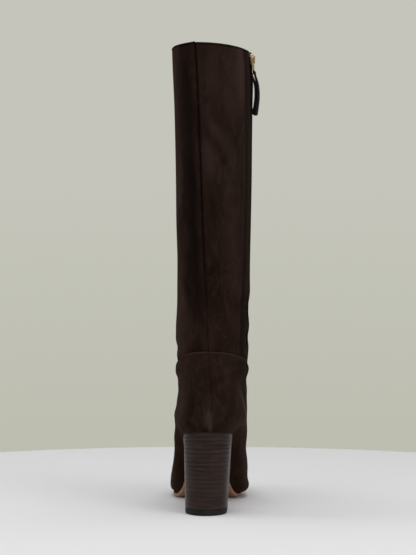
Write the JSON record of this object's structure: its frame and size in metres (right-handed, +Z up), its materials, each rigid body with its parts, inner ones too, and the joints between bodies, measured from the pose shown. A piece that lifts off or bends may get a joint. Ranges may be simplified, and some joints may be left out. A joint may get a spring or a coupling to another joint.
{
  "type": "knee-high boot",
  "caption": "Knee-high suede boot for the left foot with a stacked block heel, thin leather sole and inner-side zip.",
  "frame": {"origin": "centre of the heel's ground face", "axes": "+Z up, +Y from heel to toe, +X to the inner side of the left leg, where the zip runs"},
  "size_m": [0.0965, 0.2422, 0.4682],
  "materials": {
    "suede": "dark brown suede, short nap",
    "sole_leather": "tan sole leather, smooth",
    "insole_leather": "tan lining leather, matt",
    "stacked_heel": "stacked leather, stained dark and polished",
    "heel_rubber": "satin",
    "zip_tape": "woven tape",
    "zip_teeth": "moulded teeth",
    "gold_metal": "polished light gold",
    "strap_leather": "folded strap, matt"
  },
  "bodies": {
    "boot": {"upper": "suede", "shaft": "suede", "outsole": "sole_leather", "insole": "insole_leather", "heel": "stacked_heel", "heel_top_piece": "heel_rubber", "zip_tape_front": "zip_tape", "zip_tape_back": "zip_tape", "zip_chain": "zip_teeth", "zip_stop_bottom": "gold_metal", "zip_stop_top_front": "gold_metal", "zip_stop_top_back": "gold_metal", "zip_slider": "gold_metal"},
    "pull": {"zip_pull": "gold_metal", "zip_pull_tab": "strap_leather"}
  },
  "joints": [
    {"name": "zip_pull_swing", "type": "hinge", "parent": "boot", "child": "pull", "pos_m": [0.04754, 0.02343, 0.4627], "axis": [-0.1945, -0.9809, 0], "range_deg": [0, 165]}
  ]
}
